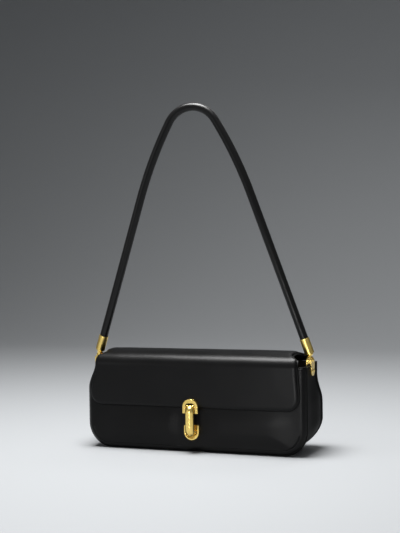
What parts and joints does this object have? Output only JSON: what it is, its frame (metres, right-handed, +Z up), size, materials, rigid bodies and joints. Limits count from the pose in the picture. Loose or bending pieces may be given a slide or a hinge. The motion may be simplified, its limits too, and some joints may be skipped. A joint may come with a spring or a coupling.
{
  "type": "baguette bag",
  "caption": "Small structured shoulder bag in black leather with a long padded front flap, a hinged link clasp and a rolled strap that swings on side brackets.",
  "frame": {"origin": "on the ground under the middle of the body, at the middle of its width and of its depth at the belly", "axes": "+X to the bag's right as seen from the front, +Y to the back, +Z up"},
  "size_m": [0.266, 0.0893, 0.3933],
  "materials": {
    "black_leather": "smooth, semi-gloss",
    "strap_leather": "smooth, semi-gloss",
    "lining": "matt microfibre",
    "leatherboard": "matt",
    "padding": "felt",
    "cord": "matt",
    "gold_metal": "fine satin plating",
    "steel": "satin",
    "magnet": "nickel plated"
  },
  "bodies": {
    "body": {"front_panel": "black_leather", "back_panel": "black_leather", "left_gusset": "black_leather", "right_gusset": "black_leather", "base_panel": "black_leather", "front_welt": "black_leather", "back_welt": "black_leather", "mouth_binding": "black_leather", "front_stiffener": "leatherboard", "back_stiffener": "leatherboard", "lining": "lining", "slip_pocket": "lining", "base_board": "leatherboard", "flap_fold": "black_leather", "lower_plate": "gold_metal", "lower_backing": "steel", "lower_screws": "steel", "catch_magnet": "magnet", "left_bracket": "gold_metal", "right_bracket": "gold_metal", "bracket_rivets": "gold_metal", "left_pivot_pin": "gold_metal", "right_pivot_pin": "gold_metal"},
    "flap": {"flap_outer": "black_leather", "flap_padding": "padding", "flap_lining": "black_leather", "upper_plate": "gold_metal", "upper_backing": "steel", "upper_screws": "steel", "clasp_pin": "gold_metal"},
    "clasp_bar": {"link_bar": "gold_metal"},
    "strap": {"strap_leather": "strap_leather", "strap_core": "cord", "left_knuckle": "gold_metal", "right_knuckle": "gold_metal", "left_ferrule": "gold_metal", "right_ferrule": "gold_metal", "ferrule_screws": "steel"}
  },
  "joints": [
    {"name": "flap_hinge", "type": "hinge", "parent": "body", "child": "flap", "pos_m": [0, 0.0245, 0.1], "axis": [1, 0, 0], "range_deg": [-172, 0], "deforming": ["flap_fold", "strap_leather", "strap_core"]},
    {"name": "bar_hinge", "type": "hinge", "parent": "flap", "child": "clasp_bar", "pos_m": [0, -0.0447, 0.0525], "axis": [1, 0, 0], "range_deg": [-55, 0]},
    {"name": "strap_pivot", "type": "hinge", "parent": "body", "child": "strap", "pos_m": [0, -0.0065, 0.1038], "axis": [-1, 0, 0], "range_deg": [-45.5, 54.5]}
  ]
}
